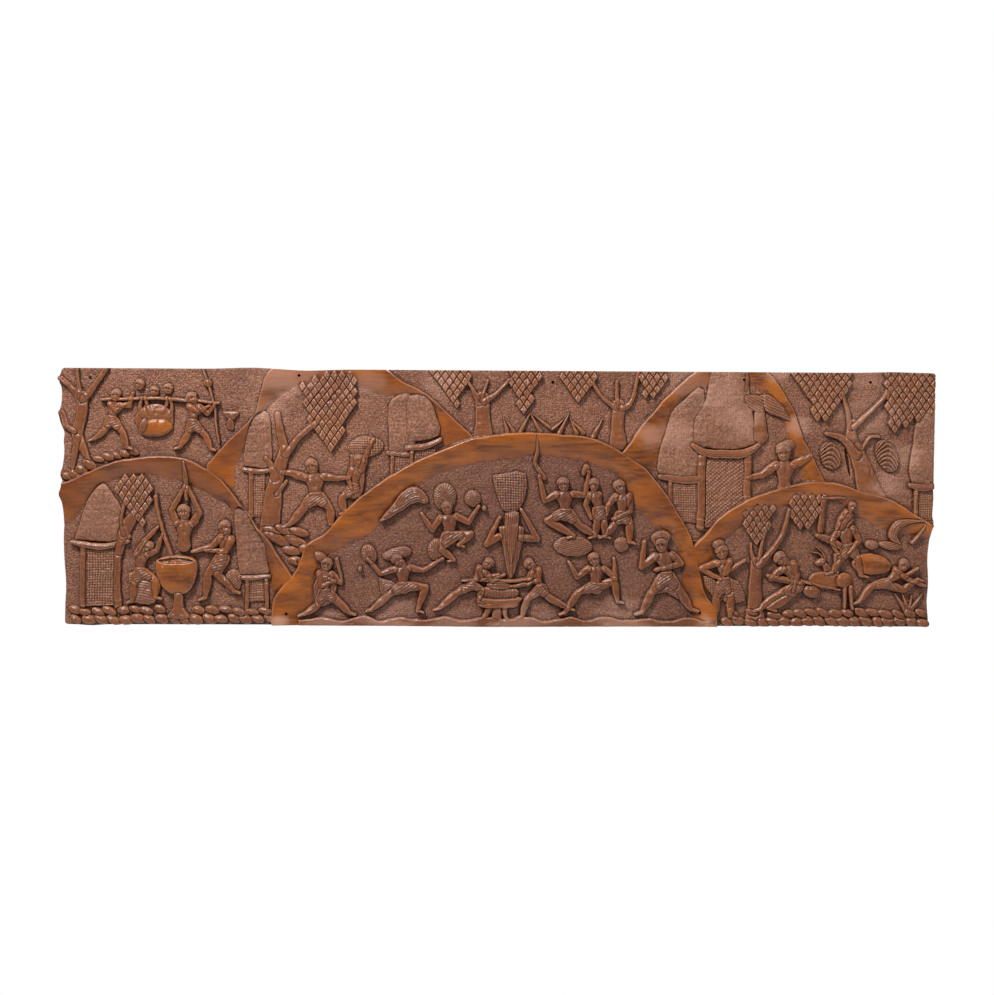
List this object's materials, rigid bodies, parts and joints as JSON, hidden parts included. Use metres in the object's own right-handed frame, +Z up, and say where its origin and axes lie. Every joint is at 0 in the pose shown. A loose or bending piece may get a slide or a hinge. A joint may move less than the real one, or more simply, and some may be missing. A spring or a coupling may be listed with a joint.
{
  "type": "relief plaque",
  "caption": "long wooden wall panel carved in relief with hills, thatched huts, leafy trees and people at village work, drilled for wall screws",
  "frame": {"origin": "centre of the flat back of the board, on the wall plane", "axes": "X along the length, Y out of the back into the wall (the carved front faces -Y), Z up"},
  "size_m": [2.0093, 0.044, 0.5904],
  "materials": {
    "wood": "satin, stained and polished by hand, with dull recesses"
  },
  "bodies": {
    "root": {"carved_panel": "wood"}
  },
  "joints": []
}
